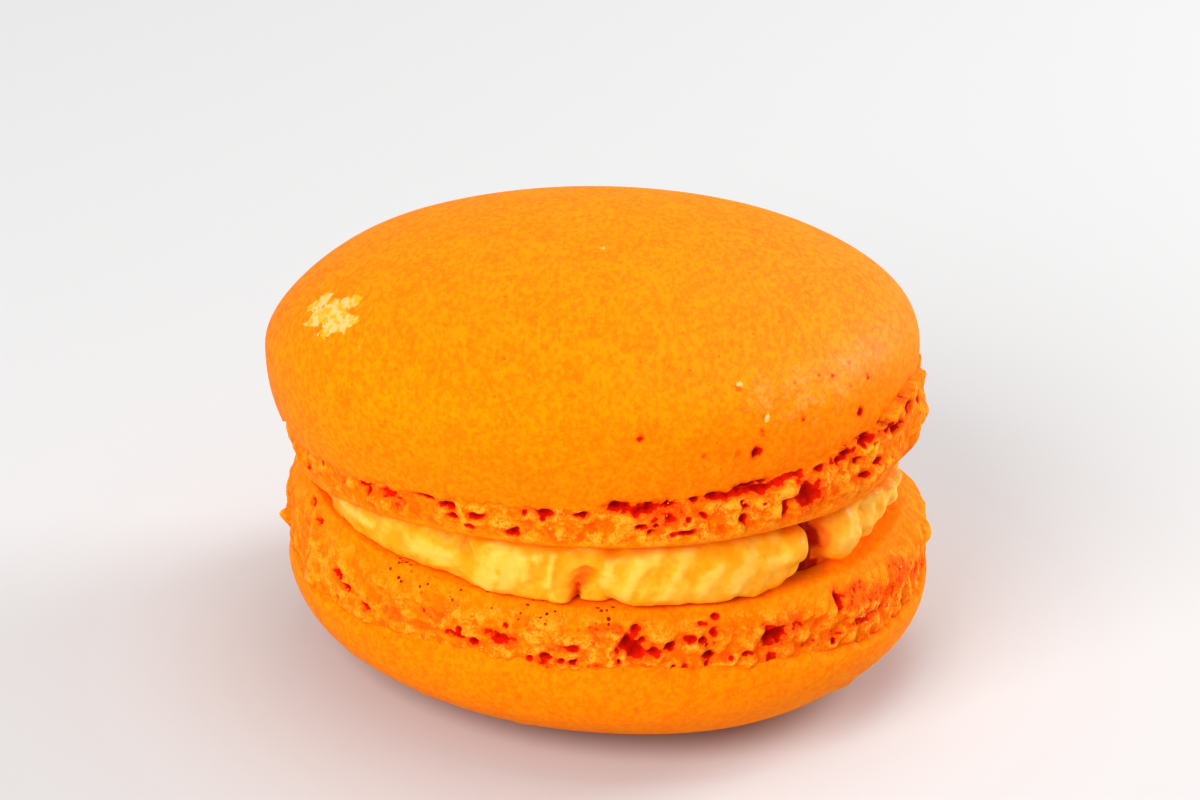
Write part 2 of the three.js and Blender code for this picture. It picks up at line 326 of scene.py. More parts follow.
    def painted_shade(azimuth, height):
        front = hump(azimuth, -85, 70) * (1 - steps(height, 0, 3.5))
        left = hump(azimuth, 180, 50) * (1 - steps(height, 2, 6))
        return 0.5 * np.maximum(front, left)


# ---------------------------------------------------------------- the shells' plain mesh

SHELL_STEPS = 820           # steps round a shell
INNER_RINGS = (0, 8, 14, 18)
CLOSE_FROM = 19.5           # outside this radius the underside has close rows
UNDERSIDE_ROW = 0.3         # distances between the rows
FOOT_ROW = 0.125
SIDE_ROW = 0.25
DOME_ROW = 0.4
CROWN_RADIUS = 17           # inside this radius the dome's rows grow further apart
CROWN_GROWTH = 14           # by a millimetre over this distance
FLAT_SPOT_RINGS = (0.7, 0.35, 0)
FILLET = 0.5                # round of the foot's bottom edge
LIP_STEP = 0.06             # the foot's top row is this far under the skin's lowest row


def evenly(points, gap):
    """Points along a bent line, spaced by gap(place), from its start to its end."""
    spaced = [points[0]]
    last = points[0]
    for place in points[1:]:
        if (place - last).length >= gap(place):
            spaced.append(place)
            last = place
    spaced[-1] = points[-1]
    return spaced


def stretch(start, end, count=400):
    return [start.lerp(end, i / count) for i in range(count + 1)]


def foot_section(floor):
    """Half section of the underside and the foot, up to the lip."""
    edge = PLAIN_FOOT - FILLET
    line = [Vector((radius, 0, floor)) for radius in INNER_RINGS]
    underside = stretch(Vector((CLOSE_FROM, 0, floor)), Vector((edge, 0, floor)))
    line += evenly(underside, lambda place: UNDERSIDE_ROW)
    bend = [Vector((edge + FILLET * math.sin(angle), 0, FILLET - FILLET * math.cos(angle) + floor))
            for angle in [math.pi / 200 * i for i in range(101)]]
    wall = stretch(bend[-1], Vector((PLAIN_FOOT, 0, -PLAIN_LIP - LIP_STEP)))
    return line + evenly(bend + wall, lambda place: FOOT_ROW)[1:]


def dome_section(form, count=2000):
    """Half section of the dome, from its widest ring up to the crown."""
    power = 2 / form.squareness
    crown_angle = math.asin((form.crown / form.rise) ** (1 / power))
    dome = []
    for i in range(count + 1):
        angle = crown_angle * i / count
        dome.append(Vector((form.radius * max(0.0, math.cos(angle)) ** power, 0,
                            form.rise * math.sin(angle) ** power)))
    line = evenly(dome, lambda place: DOME_ROW + max(0.0, CROWN_RADIUS - place.x) / CROWN_GROWTH)
    flat_spot = line[-1].x
    if flat_spot > 0.01:
        line += [Vector((flat_spot * share, 0, form.crown)) for share in FLAT_SPOT_RINGS]
    return line


def shell_section(form, count=400):
    """Plain half section, from the middle of the underside up the outside to the crown."""
    side = [Vector((form.radius - form.lip_tuck * down ** 2, 0, -PLAIN_LIP * down))
            for down in [1 - i / count for i in range(count + 1)]]
    return (foot_section(-form.foot_drop) + evenly(side, lambda place: SIDE_ROW)
            + dome_section(form)[1:])


def lathe(section, turns):
    """The mesh of a half section turned round Z, and its places."""
    mesh = bmesh.new()
    bmesh.ops.create_grid(mesh, x_segments=turns, y_segments=len(section) - 1, size=0.5)
    for vert in mesh.verts:
        row = section[round((vert.co.y + 0.5) * (len(section) - 1))]
        angle = 2 * math.pi * (vert.co.x + 0.5)
        vert.co = (row.x * math.cos(angle), row.x * math.sin(angle), row.z)
    bmesh.ops.remove_doubles(mesh, verts=mesh.verts, dist=1e-4)
    bmesh.ops.recalc_face_normals(mesh, faces=mesh.faces)
    for face in mesh.faces:
        face.smooth = True
    data = bpy.data.meshes.new("lathed")
    mesh.to_mesh(data)
    mesh.free()
    places = np.empty(len(data.vertices) * 3)
    data.vertices.foreach_get("co", places)
    return data, places.reshape(-1, 3)


def as_piece(name, data, places, placing, marks):
    """Moves the mesh to its finished places, in metres, with its marks as named attributes."""
    data.name = name
    turn = np.array(placing.to_3x3())
    placed = (places @ turn.T + np.array(placing.translation)) * MM
    data.vertices.foreach_set("co", placed.ravel())
    for mark, share in marks.items():
        layer = data.attributes.new(mark, "FLOAT", "POINT")
        layer.data.foreach_set("value", share.astype(np.float32))
    data.update()
    piece = bpy.data.objects.new(name, data)
    bpy.context.scene.collection.objects.link(piece)
    return piece


# ---------------------------------------------------------------- the craggy foot

GRAIN_SIZE = 1.1            # crumbs of the foot, in two sizes
FINE_GRAIN_SIZE = 0.55
GRAIN_RELIEF = 0.16         # how far each stands out of a foot whose rough is 1
FINE_GRAIN_RELIEF = 0.07
WILD_SIZE = 0.9             # lumps without any order
WILD_RELIEF = 0.3
PORE_DEPTH = 0.35
HOLLOW_DEPTH = 0.6          # depth of a hollow or groove whose amount is 1
FRAY = (0.25, 0.5)          # unevenness of the hollows' edges, beside the wild lumps
WILD_FRAY = 0.35
GROOVE_WAVE = (1.5, 2.3)    # unevenness of the groove's height
GROOVE_FRAY = (0.9, 0.8)
STRAY = (0.1, 0.9)          # how far any place strays sideways


def wild_lumps(place):
    return swell(place, WILD_SIZE, 5.5)


def ragged_edge(place):
    """How far the edge of a hollow wanders here, as a share of the hollow's size."""
    return uneven(place, FRAY, 9.1) + WILD_FRAY * wild_lumps(place)


def patches(listed, azimuth, height, ragged):
    """For a list of (azimuth, height, width, tall, amount): the largest amount at each place,
    and how far inside a patch the place is, with 0.5 on its edge."""
    most = np.zeros(len(azimuth))
    inside = np.zeros(len(azimuth))
    for middle, level, width, tall, amount in listed:
        along = np.radians(turn_between(azimuth, middle)) * SHELL_RADIUS / width
        share = 1 - np.hypot(along, (height - level) / tall) - ragged
        most = np.maximum(most, amount * steps(share, 0.3, 0.85))
        inside = np.maximum(inside, np.minimum(share, 0.35 + 0.6 * amount))
    return most, np.clip(inside, 0, 1)


def rounded_grain(distance):
    """Relief of a crumb: highest at its centre and below 0 in the crease past its edge."""
    return 0.7 - (distance / 0.6) ** 2


def groove_under_lip(form, azimuth, below, ragged, on_knob):
    """Depth of the broken groove under the skin's edge, and its mark, with 0.5 on its edge."""
    rim = ring(azimuth)
    tall = 0.5 + uneven(rim, GROOVE_WAVE, form.seed) + uneven(rim, GROOVE_FRAY, 3.3)
    tall = np.clip(tall, 0, 1.5)
    mark = np.clip(0.5 + 0.7 * (0.6 * tall - below - 0.6 * ragged), 0, 1)
    mark *= steps(form.groove(azimuth) * tall, 0.1, 0.35) * (1 - steps(on_knob, 0.3, 0.6))
    return form.groove(azimuth) * steps(mark, 0.35, 0.8), mark


def shape_foot(form, plain, azimuth, radius, lip):
    """Height, outward push, marks and sideways drift of each place of the craggy foot."""
    # down runs from 0 at the lip to 1 at the underside, below is the distance from the lip
    down = (plain[:, 2] + PLAIN_LIP) / (PLAIN_LIP - form.foot_drop)
    on_rim = steps(radius, UNDERSIDE, PLAIN_FOOT)
    height = -lerp(lip, form.foot_drop + form.rim_rise(azimuth) * on_rim, down)
    below = -height - lip
    place = np.stack([radius * cosine(azimuth), radius * sine(azimuth), height], axis=1)
    # how far a place faces outwards, and how far it faces down, round the bottom edge
    outward = np.clip((radius - PLAIN_FOOT + FILLET) / FILLET, 0, 1)
    downward = np.sqrt(1 - outward ** 2)
    craggy = (1 - steps(down, form.calm_from, form.calm_from + 0.25)) * outward
    crusty = (1 - steps(down, 0.85, 1)) * outward

    rough = form.rough(azimuth)
    crag = uneven(plain, BOULDER, form.seed) + uneven(plain, CRUMB, form.seed)
    near, luck = grains(place, GRAIN_SIZE, form.seed)
    grain = rounded_grain(near)
    fine_grain = rounded_grain(grains(place, FINE_GRAIN_SIZE, form.seed)[0])
    wild = wild_lumps(place)
    pore_share = 0.07 + 0.3 * (1 - steps(below, 0.3, 2.4)) * rough
    pore = (luck < pore_share) * (1 - steps(near, 0.1, 0.42))

    ragged = ragged_edge(place)
    knob, on_knob = patches(form.knobs, azimuth, height, 0.5 * ragged)
    deep, in_hollow = patches(form.hollows, azimuth, height, ragged)
    groove, in_groove = groove_under_lip(form, azimuth, below, ragged, on_knob)

    crumbs = GRAIN_RELIEF * grain + FINE_GRAIN_RELIEF * fine_grain + WILD_RELIEF * wild
    relief = craggy * (rough * crumbs - PORE_DEPTH * pore)
    relief += crusty * (knob - HOLLOW_DEPTH * np.maximum(groove, deep)) + 0.05 * wild
    tuck = form.edge_tuck(azimuth) * steps(down, 0.45, 1) ** 2
    calm_edge = 1 - 0.7 * steps(down, 0.85, 1)
    push = on_rim * (form.foot_radius(azimuth) - PLAIN_FOOT - tuck + crag * calm_edge)

    shown = crusty * (0.55 + 0.45 * craggy) * np.minimum(1, rough + 0.2)
    # the hollow mark is painted shade: hollows, the groove and pores are coloured red and dark
    hollow_shade = np.maximum(np.maximum(in_groove, in_hollow), 0.85 * pore * craggy)
    # peak is how high a place stands among the crags: the foot's colour paints peaks lighter, as
    # painted light, and lows darker, as painted shade
    peak = 0.4 + 0.35 * grain + 0.2 * fine_grain + 0.7 * wild + 0.4 * crag + knob
    marks = {"foot": np.maximum(shown, 0.2 * outward), "hollow_shade": crusty * hollow_shade,
             "peak": crusty * np.clip(peak, 0, 1)}
    drift = np.stack([uneven(place, STRAY, seed) for seed in (11.1, 12.3, 13.7)], axis=1)
    drift *= craggy[:, None]
    drift[:, 2] -= relief * downward
    return height, push + relief * outward, marks, drift


# ---------------------------------------------------------------- the skin and the whole shell

MARKS = ("foot", "hollow_shade", "peak", "scar", "pores", "sugar", "sheen", "stain_and_shade", "dust_and_sheen")
LIP_TEETH = (0.5, 1.5)      # unevenness of the skin's edge, beside its wander
LIP_FRAY = (0.25, 0.6)
LEAST_LIP = 0.3             # the skin reaches at least this far below the widest ring
SCAR_DEPTH = 0.1


def pit_mark(away, radius):
    """A mark that is 0.5 at a pit's edge and broad enough to reach the next rows of the mesh."""
    broad = 1.4 * radius + 0.35
    return np.minimum(0.5 * (1 - steps(away, 0, broad)) / (1 - steps(radius, 0, broad)), 1)


def shape_skin(form, plain, place, azimuth, marks):
    """Outward push of the skin's scars, pits and swellings. Adds their marks."""
    marks["scar"] = spots(place, form.scars)
    marks["dust_and_sheen"] = spots(place, form.dust_and_sheen)
    # the stain mark carries both the listed stains and the painted shade set out above
    marks["stain_and_shade"] = np.maximum(spots(place, form.stains), form.painted_shade(azimuth, plain[:, 2]))
    push = -SCAR_DEPTH * marks["scar"]
    # pits also get the hollow mark, for painted shade
    for x, y, z, reach, depth in form.pits:
        away = np.linalg.norm(place - np.array((x, y, z)), axis=1)
        push -= depth * (1 - steps(away, 0.35 * reach, reach))
        marks["hollow_shade"] = np.maximum(marks["hollow_shade"], pit_mark(away, reach))
    for swelling in form.swellings:
        away = off_centre(azimuth, plain[:, 2], swelling[:4])
        push += swelling[4] * (1 - steps(away, 0, 1))
    return push


def make_shell(form, placing):
    data, plain = lathe(shell_section(form), SHELL_STEPS)
    radius = np.hypot(plain[:, 0], plain[:, 1])
    azimuth = np.degrees(np.arctan2(plain[:, 1], plain[:, 0]))
    foot = plain[:, 2] < -PLAIN_LIP
    skin = ~foot
    side = skin & (plain[:, 2] < 0)
    rim = ring(azimuth)
    lip = form.lip_drop(azimuth) + uneven(rim, LIP_WANDER, form.seed)
    lip += uneven(rim, LIP_TEETH, form.seed) + uneven(rim, LIP_FRAY, form.seed)
    lip = np.maximum(LEAST_LIP, lip)

    place = plain.copy()
    marks = {mark: np.zeros(len(plain)) for mark in MARKS}
    outer = steps(radius, 0.3 * SHELL_RADIUS, 0.9 * SHELL_RADIUS)
    push = outer * uneven(plain, DOME_SWELL, form.seed)

    place[side, 2] = plain[side, 2] * lip[side] / PLAIN_LIP
    deep, in_hollow = patches(form.hollows, azimuth[side], place[side, 2], ragged_edge(place[side]))
    fill = form.lip_fill(azimuth[side]) * (plain[side, 2] / PLAIN_LIP) ** 2
    push[side] += fill - HOLLOW_DEPTH * deep
    marks["hollow_shade"][side] = in_hollow

    height, foot_push, foot_marks, drift = shape_foot(
        form, plain[foot], azimuth[foot], radius[foot], lip[foot])
    place[foot, 2] = height
    push[foot] += foot_push
    for mark, share in foot_marks.items():
        marks[mark][foot] = share

    skin_marks = {"hollow_shade": marks["hollow_shade"][skin]}
    push[skin] += shape_skin(form, plain[skin], place[skin], azimuth[skin], skin_marks)
    for mark, share in skin_marks.items():
        marks[mark][skin] = share
    sheen = form.sheen(azimuth) * steps(radius, 3, 20) * steps(plain[:, 2], 0.2, 4)
    marks["sheen"] = sheen * skin
    marks["pores"] = spots(place, form.pores)
    marks["sugar"] = spots(place, form.sugar) * marks["foot"]

    place[:, :2] *= ((radius + push) / np.maximum(radius, 0.1))[:, None]
    place[foot] += drift
    return as_piece(form.name + "_fine", data, place, placing, marks)


# ---------------------------------------------------------------- the cream

CREAM_STEPS = 960           # steps round the cream
CORE = 21.0                 # radius that the lobes stand out from
CREAM_RIM = 23.0            # typical radius of the lobes
GAP = 5.0                   # typical height between the shells
CREAM_CLEAR = 0.06          # air kept from both shells
INNER_SHARES = (0, 0.5, 0.7, 0.8, 0.86, 0.9, 0.94, 0.97, 0.99)
EDGE_ROWS = 44

# Heights of the cream are shares of the gap, from 0 on the lower shell to 1 under the upper one.
# lobes: (azimuth, half width, height, half height, reach, end, side), where end and side say how
# square a lobe is along the rim and up the gap
LOBES = [
    (-140, 31, 0.42, 0.62, 23.3, 2.8, 2.6), (-107, 14, 0.44, 0.58, 23.8, 3.0, 3.0),
    (-98.2, 3.6, 0.1, 0.17, 23.9, 2.2, 2.0), (-94, 8, 0.66, 0.34, 23.1, 3.0, 3.0),
    (-92.5, 4.5, 0.2, 0.35, 22.5, 2.5, 2.5), (-83.5, 7.7, 0.42, 0.5, 23.3, 2.6, 2.6),
    (-71, 22, 0.47, 0.54, 23.8, 3.2, 2.6), (-53.5, 5, 0.6, 0.3, 23.7, 2.2, 2.2),
    (-38.2, 6.6, 0.54, 0.47, 23.4, 2.0, 2.0), (-35, 5.5, 1.0, 0.25, 22.9, 2.0, 2.0),
    (-31.5, 3.6, 0.56, 0.34, 23.2, 2.0, 2.0), (-30.5, 4.4, 0.95, 0.36, 23.2, 2.0, 2.0),
    (-27.5, 3.4, 0.66, 0.36, 23.2, 2.0, 2.0), (-25, 3.6, 0.95, 0.36, 23.3, 2.0, 2.0),
    (-21.5, 3.4, 0.7, 0.3, 23.0, 2.0, 2.0), (-19, 4, 1.0, 0.36, 23.2, 2.0, 2.0),
    (-14, 5, 0.85, 0.4, 22.4, 2.0, 2.2), (-6, 10, 0.6, 0.55, 21.8, 2.5, 3.0),
    (21, 20, 0.5, 0.58, 22.0, 3.0, 3.0), (59, 23, 0.5, 0.58, 21.8, 3.0, 3.0),
    (96, 19, 0.5, 0.58, 21.5, 3.0, 3.0), (131, 21, 0.5, 0.58, 21.4, 3.0, 3.0),
    (172, 25, 0.5, 0.58, 21.6, 3.0, 3.0),
]
# smeared ridges: (azimuth, height) at either end, width, proud; their crests are painted lighter, as
# painted highlight
RIDGES = [
    (-112, 0.2, -109.5, 0.75, 1.6, 0.12), (-108, 0.25, -106, 0.72, 1.0, 0.1),
    (-104.5, 0.35, -105, 0.72, 0.5, 0.12), (-103, 0.72, -102.8, 0.76, 0.45, 0.15),
    (-100.4, 0.3, -99.8, 0.78, 0.5, 0.16), (-87, 0.2, -84, 0.72, 0.9, 0.15),
    (-84, 0.72, -80.5, 0.9, 0.8, 0.13), (-79.5, 0.25, -77, 0.6, 0.9, 0.15),
    (-77, 0.6, -75, 0.85, 0.7, 0.12), (-73, 0.3, -70, 0.62, 0.9, 0.15),
    (-66, 0.3, -63, 0.7, 1.1, 0.1), (-59, 0.56, -56, 0.6, 1.0, 0.1),
    (-90, 0.4, -89, 0.7, 0.8, 0.08), (-128, 0.45, -121, 0.4, 1.4, 0.1),
    (-150, 0.5, -140, 0.5, 0.8, 0.05), (-40, 0.5, -38, 0.7, 1.5, 0.0),
    (-33, 0.6, -31, 0.95, 1.1, 0.0), (-27, 0.7, -25, 1.0, 1.2, 0.0), (-21, 0.7, -18, 1.0, 1.3, 0.0),
]
# pockets: (azimuth, height, half width, half height, depth)
POCKETS = [(-93.9, 0.48, 3.0, 0.16, 0.35), (-94.6, 0.32, 2.0, 0.16, 0.5),
           (-95.3, 0.14, 1.0, 0.2, 0.8), (-117.5, 0.68, 3.2, 0.24, 0.4),
           (-48.0, 0.3, 3.0, 0.6, 1.9)]
# places painted darker, as painted shade: (azimuth, height, half width, half height, amount)
SHADES = [(-46.2, 0.4, 4.2, 1.1, 1.6), (-43.5, 0.03, 6, 0.22, 1.2), (-93.9, 0.5, 3.6, 0.2, 0.45),
          (-94.7, 0.33, 2.4, 0.2, 0.55), (-95.3, 0.14, 1.3, 0.2, 0.85), (-90, 0.85, 5, 0.35, 0.3),
          (-117.5, 0.7, 3.5, 0.3, 0.35), (-53, 0.95, 6, 0.2, 0.3)]

DEEPEST = -0.6              # no pocket goes further in from the core than this
LOBE_ROUND = 0.45           # how blunt a lobe is: 0.5 is an ellipse, less is blunter
LOBE_MERGE = 6              # how sharply lobes meet
CREAM_SWELL = (0.3, 4.5)    # unevenness of the finished rim
CREAM_RIPPLE = (0.22, 1.9)
CREAM_FRAY_SIZE = 0.8


def near_stroke(azimuth, share, stroke):
    """Distance in mm from a short smear that runs between two places on the rim."""
    first, low, last, high = stroke
    scale = math.radians(1) * CREAM_RIM
    run, rise = (last - first) * scale, (high - low) * GAP
    along = turn_between(azimuth, first) * scale
    up = (share - low) * GAP
    part = np.clip((along * run + up * rise) / (run * run + rise * rise), 0, 1)
    return np.hypot(along - part * run, up - part * rise)


def cream_section():
    """Half section of the cream: its distance from the axis and height as shares."""
    floor = [Vector((share, 0, 0)) for share in INNER_SHARES]
    edge = [Vector((1, 0, i / EDGE_ROWS)) for i in range(EDGE_ROWS + 1)]
    ceiling = [Vector((share, 0, 1)) for share in reversed(INNER_SHARES)]
    return floor + edge + ceiling


def cream_lobes(azimuth, share):
    """How far the piped lobes bulge out of the core."""
    total = np.zeros(len(share))
    for middle, half_width, level, half_height, reach, end, side in LOBES:
        along = np.abs(turn_between(azimuth, middle)) / half_width
        up = np.abs(share - level) / half_height
        rounded = np.clip(1 - along ** end - up ** side, 0, 1) ** LOBE_ROUND
        total += ((reach - CORE) * rounded) ** LOBE_MERGE
    return total ** (1 / LOBE_MERGE)


def smeared(azimuth, share, bulge):
    """The bulge with its smeared ridges, and how far each place is on their crests, which are painted
    lighter as highlight.
    """
    crest_highlight = np.zeros(len(share))
    for *stroke, width, proud in RIDGES:
        smear = 1 - steps(near_stroke(azimuth, share, stroke), 0, 1.2 * width)
        crest_highlight = np.maximum(crest_highlight, smear)
        bulge = bulge + proud * smear
    return bulge, crest_highlight


def pocketed(azimuth, share, bulge):
    """The bulge with its pockets, and how much painted shade each place in a pocket gets."""
    dark = np.zeros(len(share))
    for *oval, depth in POCKETS:
        hole = 1 - steps(off_centre(azimuth, share, oval), 0.45, 1.0)
        bulge = np.maximum(DEEPEST, bulge - depth * hole)
        dark = np.maximum(dark, hole * min(1.0, depth / 1.3))
    return bulge, dark


def folded(azimuth, share, rim, bulge, crest_highlight):
    """The bulge and crests with chance folds, which are strongest at the right end, where the crests
    are painted lighter as painted light.
    """
    folds = swell(rim * np.array((1, 1, 0.6)), 1.7, 3.1) + 0.5 * swell(rim, 0.9, 4.4)
    bulge = bulge + (0.2 + 0.35 * hump(azimuth, -22, 16)) * folds
    crest_highlight = np.maximum(crest_highlight, 0.5 * steps(folds, 0.0, 0.5))
    # the right end is painted lighter all over, as painted light
    crest_highlight = np.maximum(crest_highlight, 0.9 * hump(azimuth, -22, 16))
    rim = rim.copy()
    rim[:, :2] *= ((CORE + bulge) / CREAM_RIM)[:, None]
    bulge = bulge + uneven(rim, CREAM_SWELL, 2.2) + uneven(rim, CREAM_RIPPLE, 5.1)
    bulge += (0.12 + 0.3 * hump(azimuth, -24, 14)) * swell(rim, CREAM_FRAY_SIZE, 6.4)
    return bulge * steps(share, -0.02, 0.05) * steps(1 - share, -0.02, 0.05), crest_highlight


def cream_shade(azimuth, wavy_azimuth, share, wavy_share, bulge):
    """How much painted shade each place gets: between the lobes, along the shells, and where it is
    listed.
    """
    # the recesses between the lobes are deep and dark at the front, and shallow further back
    behind = steps(sine(azimuth), -0.42, -0.1)
    recess = (0.5 - 0.4 * behind) * (1 - steps(bulge, 0.2 - 0.2 * behind, 1.6 - 1.3 * behind))
    shade = 0.35 * (1 - steps(share, 0, 0.1)) + 0.3 * steps(share, 0.8, 1)
    for *oval, amount in SHADES:
        away = off_centre(wavy_azimuth, wavy_share, oval)
        shade = np.maximum(shade, amount * (1 - steps(away, 0, 1)))
    return np.maximum(recess, shade)


def make_cream(upper_placing, placing):
    data, plain = lathe(cream_section(), CREAM_STEPS)
    across = np.hypot(plain[:, 0], plain[:, 1])
    azimuth = np.degrees(np.arctan2(plain[:, 1], plain[:, 0]))
    share = plain[:, 2]
    rim = ring(azimuth, CREAM_RIM)
    rim[:, 2] = share * GAP
    wavy_azimuth = azimuth + 1.6 * swell(rim, 1.5, 7.3)
    wavy_share = share + 0.08 * swell(rim, 1.3, 1.9)

    bulge = cream_lobes(wavy_azimuth, wavy_share)
    bulge, crest_highlight = smeared(wavy_azimuth, wavy_share, bulge)
    bulge, pocket = pocketed(wavy_azimuth, wavy_share, bulge)
    bulge, crest_highlight = folded(azimuth, share, rim, bulge, crest_highlight)
    reach = across * (CORE + bulge * steps(across, 0.8, 1.0))
    place = np.stack([reach * cosine(azimuth), reach * sine(azimuth), share], axis=1)

    # the cream fills the wedge from the lower shell's inner face up to the upper shell's
    normal = upper_placing.to_3x3() @ Vector((0, 0, 1))
    origin = upper_placing @ Vector((0, 0, -Upper.foot_drop))
    lean = normal.x * (place[:, 0] - origin.x) + normal.y * (place[:, 1] - origin.y)
    ceiling = origin.z - lean / normal.z
    place[:, 2] = lerp(CREAM_CLEAR, ceiling - CREAM_CLEAR, share)

    shade = cream_shade(azimuth, wavy_azimuth, share, wavy_share, bulge)
    # the cream's hollow mark is painted shade, in its pockets, recesses and listed shades
    hollow_shade = np.maximum(pocket, shade) * steps(across, 0.8, 0.95)
    marks = {"hollow_shade": np.clip(hollow_shade, 0, 1), "crest_highlight": crest_highlight}
    return as_piece("filling_fine", data, place, placing, marks)


# ---------------------------------------------------------------- shader arithmetic

class Wire:
    """A socket's value that can be written in sums. Each sum adds its Math node."""

    def __init__(self, tree, socket):
        self.tree = tree
        self.socket = socket

    def node(self, kind, settings=None, inputs=None, output=0):
        made = self.tree.nodes.new(kind)
        for name, value in (settings or {}).items():
            setattr(made, name, value)
        for name, value in (inputs or {}).items():
            if isinstance(value, Wire):
                self.tree.links.new(value.socket, made.inputs[name])
            else:
                made.inputs[name].default_value = value
        return Wire(self.tree, made.outputs[output])

    def math(self, operation, first, second):
        return self.node("ShaderNodeMath", {"operation": operation}, {0: first, 1: second})

    def __add__(self, other):
        return self.math("ADD", self, other)

    __radd__ = __add__

    def __sub__(self, other):
        return self.math("SUBTRACT", self, other)

    def __rsub__(self, other):
        return self.math("SUBTRACT", other, self)

    def __mul__(self, other):
        return self.math("MULTIPLY", self, other)

    __rmul__ = __mul__

    def ramp(self, low, high):
        """0 below low, 1 above high, smooth between."""
        return self.node("ShaderNodeMapRange", {"interpolation_type": "SMOOTHSTEP"},
                         {"Value": self, "From Min": low, "From Max": high})

    def blend(self, start, end):
        """The colour start where this value is 0 and end where it is 1."""
        return self.node("ShaderNodeMix", {"data_type": "RGBA"},
                         {"Factor": self, 6: start, 7: end}, output=2)

    def stretched(self, x, y, z):
        """This place with each of its directions drawn out or squeezed."""
        return self.node("ShaderNodeVectorMath", {"operation": "MULTIPLY"}, {0: self, 1: (x, y, z)})

    def grain(self, size_mm, detail=2.0):
        """Noise of about the given grain size, read at this place."""
        return self.node("ShaderNodeTexNoise", {},
                         {"Vector": self, "Scale": 1 / (size_mm * MM), "Detail": detail})

    def specks(self, size_mm):
        """Distance to the nearest of scattered points, in cells of the given size."""
        return self.node("ShaderNodeTexVoronoi", {}, {"Vector": self, "Scale": 1 / (size_mm * MM)})

    def mark(self, name):
        """A mark that the piece carries, by name."""
        return self.node("ShaderNodeAttribute", {"attribute_name": name}, output=2)


def new_material(name, **constants):
    material = bpy.data.materials.new(name)
    material.use_nodes = True
    tree = material.node_tree
    shader = tree.nodes["Principled BSDF"]
    for socket, value in constants.items():
        shader.inputs[socket.replace("_", " ")].default_value = value
    place = Wire(tree, tree.nodes.new("ShaderNodeTexCoord").outputs["Object"])
    return material, shader, place


def feed(shader, socket, wire):
    wire.tree.links.new(wire.socket, shader.inputs[socket])


def feed_bump(shader, height, strength, distance_mm):
    settings = {"Strength": strength, "Distance": distance_mm * MM, "Height": height}
    feed(shader, "Normal", height.node("ShaderNodeBump", {}, settings))


def colour(red, green, blue):
    return (red, green, blue, 1.0)


# ---------------------------------------------------------------- meringue

SKIN = colour(1.0, 0.175, 0.001)
SKIN_PALE = colour(1.0, 0.265, 0.001)
SKIN_BLOTCH = colour(1.0, 0.15, 0.001)
SKIN_STAIN_AND_SHADE = colour(1.0, 0.14, 0.001)
ALMOND_DUST_AND_SHEEN = colour(1.0, 0.34, 0.07)
# painted shade in the crumb's lows and painted light on its peaks
CRUMB_LOW_SHADE = colour(1.0, 0.13, 0.001)
CRUMB_HIGH = colour(1.0, 0.25, 0.003)
CRUMB_BAKED = colour(1.0, 0.085, 0.001)
CRUMB_PEAK_LIGHT = colour(1.0, 0.36, 0.02)
SYRUP = colour(1.0, 0.08, 0.002)
# dark dots and pinholes are tiny pores, painted with their shade
DOT_SHADE = colour(0.65, 0.02, 0.001)
PINHOLE_SHADE = colour(0.3, 0.008, 0.001)
# painted shade in hollows, grooves and pits: warm at the rim, red inside, darker in the depth
HOLLOW_RIM_SHADE = colour(1.0, 0.07, 0.002)
HOLLOW_RED_SHADE = colour(0.66, 0.008, 0.001)
HOLLOW_DARK_SHADE = colour(0.42, 0.003, 0.001)
FLAKE = colour(1.0, 0.38, 0.01)
FLAKE_PALE = colour(1.0, 0.5, 0.16)
GLINT = colour(1.0, 0.6, 0.35)

# the skin's fine grain is drawn out along Y, so that it looks even on a top seen aslant
SKIN_STRETCH = (1.0, 0.45, 1.0)


def skin_tone(place, skin_place, cloud, fleck):
    """Smooth baked skin: mottled, blotched and stained, darkened by painted shade low on its front and
    left, and dusted with almond, with painted sheen on the listed dusty places.
    """
    mottle = cloud * 0.1 + skin_place.grain(0.42, 3).ramp(0.3, 0.7) * 0.4
    mottle = (mottle + skin_place.grain(0.2, 3) * 0.5).ramp(0.2, 0.8)
    tone = mottle.blend(SKIN, SKIN_PALE)
    blotch = 1 - place.specks(5.0).ramp(0.05, 0.15)
    tone = (blotch * 0.55).blend(tone, SKIN_BLOTCH)
    # real stains, and painted shade through the stain mark
    stain_and_shade = skin_place.grain(0.7, 3).ramp(0.57, 0.7) * 0.5 + place.mark("stain_and_shade") * fleck * 0.7
    tone = stain_and_shade.blend(tone, SKIN_STAIN_AND_SHADE)
    # pale almond dust all over, and painted sheen where the dust mark is listed
    dust_and_sheen = place.mark("dust_and_sheen") * 0.35 + place.grain(0.3, 5) * 0.7 + place.grain(1.1, 2) * 0.5 - 0.5
    return (dust_and_sheen.ramp(0.3, 0.6) * 0.5).blend(tone, ALMOND_DUST_AND_SHEEN)


def crumb_tone(place, fleck, fine, sugar):
    """Craggy crumb of the foot: painted light on its peaks and painted shade in its lows, browner where
    it baked, syrupy in places.
    """
    peak = place.mark("peak")
    tone = (peak * 0.5 + fleck * 0.5).ramp(0.1, 0.7).blend(CRUMB_LOW_SHADE, CRUMB_HIGH)
    tone = (place.grain(1.2, 4).ramp(0.52, 0.62) * 0.8).blend(tone, CRUMB_BAKED)
    tone = (peak * 0.5 + fine * 1.1).ramp(0.72, 1.0).blend(tone, CRUMB_PEAK_LIGHT)
    return (sugar * fleck).ramp(0.25, 0.5).blend(tone, SYRUP)


